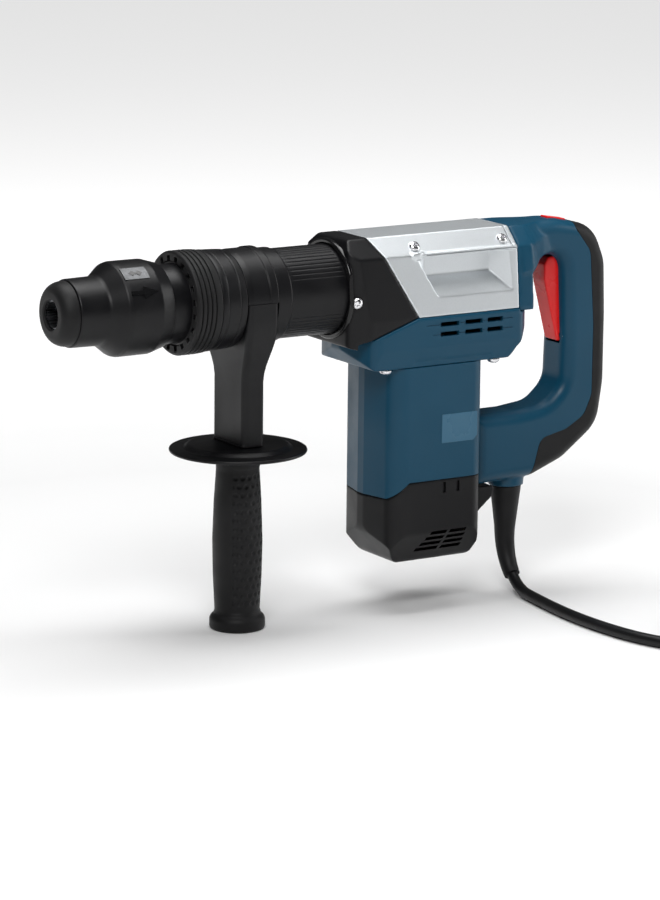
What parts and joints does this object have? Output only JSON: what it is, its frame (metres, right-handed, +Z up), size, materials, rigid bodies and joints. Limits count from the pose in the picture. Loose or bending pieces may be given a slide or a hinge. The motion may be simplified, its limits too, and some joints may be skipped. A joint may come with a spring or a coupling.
{
  "type": "demolition hammer",
  "caption": "Electric demolition hammer with an aluminium gear housing, upright motor, D-handle with trigger, and a side handle clamped round its barrel.",
  "frame": {"origin": "middle of the foot of the tool's bounding box, without its cord, at the end of the side handle", "axes": "+X from the tool holder to the rear handle, along the strike axis; +Z up, against the side handle; +Y to the left of a user behind the tool"},
  "size_m": [0.5572, 0.3223, 0.2825],
  "materials": {
    "blue_plastic": "fine moulded texture, satin",
    "black_plastic": "glass-filled nylon, satin",
    "rubber": "soft matt rubber",
    "red_plastic": "smooth moulded",
    "cast_aluminium": "die cast, fine blasted",
    "steel": "machined",
    "hard_steel": "hardened and ground",
    "screw_steel": "zinc plated",
    "laminated_steel": "stacked laminations",
    "copper": "bare copper",
    "brass": "machined",
    "carbon": "pressed carbon"
  },
  "bodies": {
    "housing": {"barrel_housing": "black_plastic", "cylinder_tube": "steel", "bearing_plate": "cast_aluminium", "crank_bearing": "steel", "upper_bearing": "steel", "lower_bearing": "steel", "stator_core": "laminated_steel", "field_coil": "copper", "brush_holder_front": "brass", "brush_holder_rear": "brass", "carbon_brush_front": "carbon", "carbon_brush_rear": "carbon", "gear_cover": "black_plastic", "gear_housing": "cast_aluminium", "lower_gearbox": "blue_plastic", "motor_housing": "blue_plastic", "motor_cap": "black_plastic", "housing_screw_front_right": "screw_steel", "housing_screw_rear_right": "screw_steel", "cover_screw_right": "screw_steel", "handle_shell_left": "blue_plastic", "handle_shell_right": "blue_plastic", "soft_grip": "rubber", "trigger_pin": "steel", "switch_block": "black_plastic", "cord_boot": "rubber", "cord_lead": "rubber", "cord_coil": "rubber", "cord_tail": "rubber", "plug_body": "rubber"},
    "chuck": {"tool_holder": "hard_steel", "dust_cap": "rubber", "bolt_guide": "brass", "sleeve_spring": "steel"},
    "sleeve": {"locking_sleeve": "black_plastic", "lock_ring": "steel"},
    "upper_lock": {"locking_segment_upper": "hard_steel"},
    "lower_lock": {"locking_segment_lower": "hard_steel"},
    "turning_ring": {"position_ring": "rubber"},
    "anvil": {"impact_bolt": "hard_steel"},
    "ram": {"striker": "hard_steel", "striker_seal": "rubber"},
    "drive_piston": {"piston": "cast_aluminium", "piston_seal": "rubber", "wrist_pin": "hard_steel"},
    "rod": {"connecting_rod": "steel", "crank_pin": "hard_steel"},
    "crank": {"crank_shaft": "hard_steel", "crank_gear": "steel"},
    "armature": {"armature_shaft": "hard_steel", "armature_core": "laminated_steel", "commutator": "copper", "cooling_fan": "black_plastic"},
    "clamp": {"clamp_band": "black_plastic", "handle_stem": "black_plastic", "guard_disc": "black_plastic", "clamp_bolt": "steel"},
    "grip": {"side_grip": "rubber"},
    "trigger_key": {"trigger": "red_plastic"},
    "lock_key": {"lock_button": "red_plastic"}
  },
  "joints": [
    {"name": "chuck_turn", "type": "hinge", "parent": "housing", "child": "chuck", "pos_m": [-0.19, 0, 0.2435], "axis": [1, 0, 0], "continuous": true},
    {"name": "sleeve_pull", "type": "slide", "parent": "chuck", "child": "sleeve", "axis": [1, 0, 0], "range_m": [0, 0.009], "stiffness_N_per_m": 2500, "springref_m": -0.006, "deforming": ["sleeve_spring"]},
    {"name": "upper_lock_lift", "type": "slide", "parent": "chuck", "child": "upper_lock", "axis": [0, 0, 1], "range_m": [0, 0.003]},
    {"name": "lower_lock_lift", "type": "slide", "parent": "chuck", "child": "lower_lock", "axis": [0, 0, -1], "range_m": [0, 0.003]},
    {"name": "ring_release", "type": "slide", "parent": "chuck", "child": "turning_ring", "axis": [-1, 0, 0], "range_m": [0, 0.004], "stiffness_N_per_m": 1500, "springref_m": -0.004},
    {"name": "anvil_slide", "type": "slide", "parent": "chuck", "child": "anvil", "axis": [-1, 0, 0], "range_m": [0, 0.008]},
    {"name": "ram_slide", "type": "slide", "parent": "housing", "child": "ram", "axis": [-1, 0, 0], "range_m": [-0.0075, 0.0085]},
    {"name": "piston_stroke", "type": "slide", "parent": "housing", "child": "drive_piston", "axis": [1, 0, 0], "range_m": [0, 0.028]},
    {"name": "rod_swing", "type": "hinge", "parent": "drive_piston", "child": "rod", "pos_m": [-0.038, 0, 0.2435], "axis": [0, 0, 1], "range_deg": [-14.2, 14.2]},
    {"name": "armature_spin", "type": "hinge", "parent": "housing", "child": "armature", "pos_m": [0.067, 0, 0.13], "axis": [0, 0, 1], "continuous": true},
    {"name": "crank_spin", "type": "hinge", "parent": "housing", "child": "crank", "pos_m": [0.0334, 0, 0.2], "axis": [0, 0, 1], "continuous": true},
    {"name": "side_handle_swing", "type": "hinge", "parent": "housing", "child": "clamp", "pos_m": [-0.082, 0, 0.2435], "axis": [1, 0, 0], "continuous": true},
    {"name": "side_grip_screw", "type": "hinge", "parent": "clamp", "child": "grip", "pos_m": [-0.082, 0, 0.06], "axis": [0, 0, 1], "continuous": true},
    {"name": "trigger_squeeze", "type": "hinge", "parent": "housing", "child": "trigger_key", "pos_m": [0.195, 0, 0.192], "axis": [0, 1, 0], "range_deg": [0, 7], "stiffness_Nm_per_rad": 6, "springref_deg": -4.58},
    {"name": "lock_button_press", "type": "slide", "parent": "housing", "child": "lock_key", "axis": [0, 0, -1], "range_m": [0, 0.0025], "stiffness_N_per_m": 800, "springref_m": -0.002}
  ],
  "couplings": [
    {"joint": "upper_lock_lift", "follows": "sleeve_pull", "ratio": 0.3333},
    {"joint": "lower_lock_lift", "follows": "sleeve_pull", "ratio": 0.3333},
    {"joint": "crank_spin", "follows": "armature_spin", "ratio": -0.16667}
  ]
}
